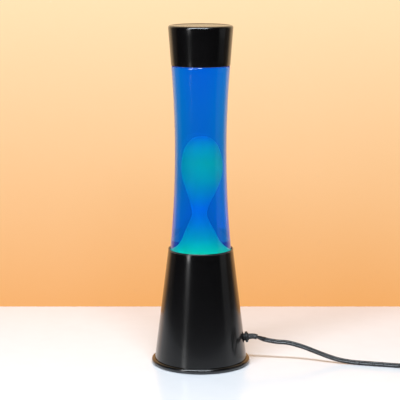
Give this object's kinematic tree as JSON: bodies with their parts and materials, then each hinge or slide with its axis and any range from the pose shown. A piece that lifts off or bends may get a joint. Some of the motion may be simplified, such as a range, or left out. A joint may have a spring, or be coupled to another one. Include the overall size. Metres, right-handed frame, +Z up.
{
  "type": "lava lamp",
  "caption": "Tall table lamp: tapered black metal base with bulb inside, waisted glass bottle of blue liquid and wax, black flared cap, mains lead with switch and flat plug.",
  "frame": {"origin": "on the table, on the lamp's own axis, under the middle of the base", "axes": "+Z up along the lamp's axis; +X to the side where the mains lead leaves; -Y towards the viewer"},
  "size_m": [0.4389, 0.1332, 0.3905],
  "materials": {
    "black_paint": "satin black enamel",
    "clear_glass": "clear polished glass",
    "blue_liquid": "clear blue liquid",
    "wax": "waxy, slightly translucent",
    "steel": "pressed and plated",
    "zinc": "zinc plated",
    "brass": "satin brass",
    "black_plastic": "moulded",
    "cord_sheath": "smooth flexible PVC",
    "rubber": "matte",
    "phenolic": "moulded thermoset",
    "ceramic": "cream ceramic",
    "solder": "soldered",
    "live_core": "brown insulation",
    "neutral_core": "blue insulation",
    "tungsten": "drawn wire",
    "bulb_glass": "silvered and frosted"
  },
  "bodies": {
    "base": {"base_shell": "black_paint", "seat_ring": "steel", "bottom_plate": "black_plastic", "foot_1": "rubber", "foot_2": "rubber", "foot_3": "rubber", "foot_4": "rubber", "plate_screw_1": "zinc", "plate_screw_2": "zinc", "plate_screw_3": "zinc", "bracket_screw_1": "zinc", "bracket_screw_2": "zinc", "clamp_screw_1": "zinc", "clamp_screw_2": "zinc", "holder_bracket": "zinc", "holder_nipple": "zinc", "holder_nut": "zinc", "holder_body": "phenolic", "holder_insert": "ceramic", "holder_screw_shell": "brass", "holder_contact": "brass", "cord_grommet": "rubber", "inner_cord": "cord_sheath", "live_wire": "live_core", "neutral_wire": "neutral_core", "cord_clamp": "black_plastic", "cord_to_switch": "cord_sheath", "cord_to_coil": "cord_sheath", "cord_coil": "cord_sheath", "cord_to_plug": "cord_sheath", "coil_tie": "rubber", "switch_base": "black_plastic", "switch_cover": "black_plastic", "switch_contact_1": "brass", "switch_contact_2": "brass", "switch_screw_1": "zinc", "switch_screw_2": "zinc", "plug_body": "black_plastic", "plug_pin_1": "brass", "plug_pin_2": "brass"},
    "bottle": {"glass_bottle": "clear_glass", "blue_liquid": "blue_liquid", "wax_column": "wax", "heating_coil": "steel", "crown_cap": "steel", "crown_liner": "ceramic"},
    "cap": {"top_cap": "black_paint"},
    "bulb_contact": {"bulb_tip": "solder"},
    "bulb": {"bulb_insulator": "phenolic", "bulb_cap": "brass", "bulb_glass": "bulb_glass", "bulb_stem": "bulb_glass", "bulb_filament": "tungsten"},
    "rocker": {"switch_rocker": "black_plastic"}
  },
  "joints": [
    {"name": "bottle_lift", "type": "slide", "parent": "base", "child": "bottle", "axis": [0, 0, 1], "range_m": [0, 0.06]},
    {"name": "cap_lift", "type": "slide", "parent": "bottle", "child": "cap", "axis": [0, 0, 1], "range_m": [0, 0.06]},
    {"name": "bulb_rise", "type": "slide", "parent": "base", "child": "bulb_contact", "axis": [0, 0, 1], "range_m": [0, 0.0099]},
    {"name": "bulb_turn", "type": "hinge", "parent": "bulb_contact", "child": "bulb", "pos_m": [0, 0, 0.045], "axis": [0, 0, 1], "range_deg": [0, 1260]},
    {"name": "switch_rock", "type": "hinge", "parent": "base", "child": "rocker", "pos_m": [0.2863, -0.032, 0.011], "axis": [0, 1, 0], "range_deg": [-20, 0]}
  ],
  "couplings": [
    {"joint": "bulb_rise", "follows": "bulb_turn", "m_per_rad": 0.00044881}
  ]
}
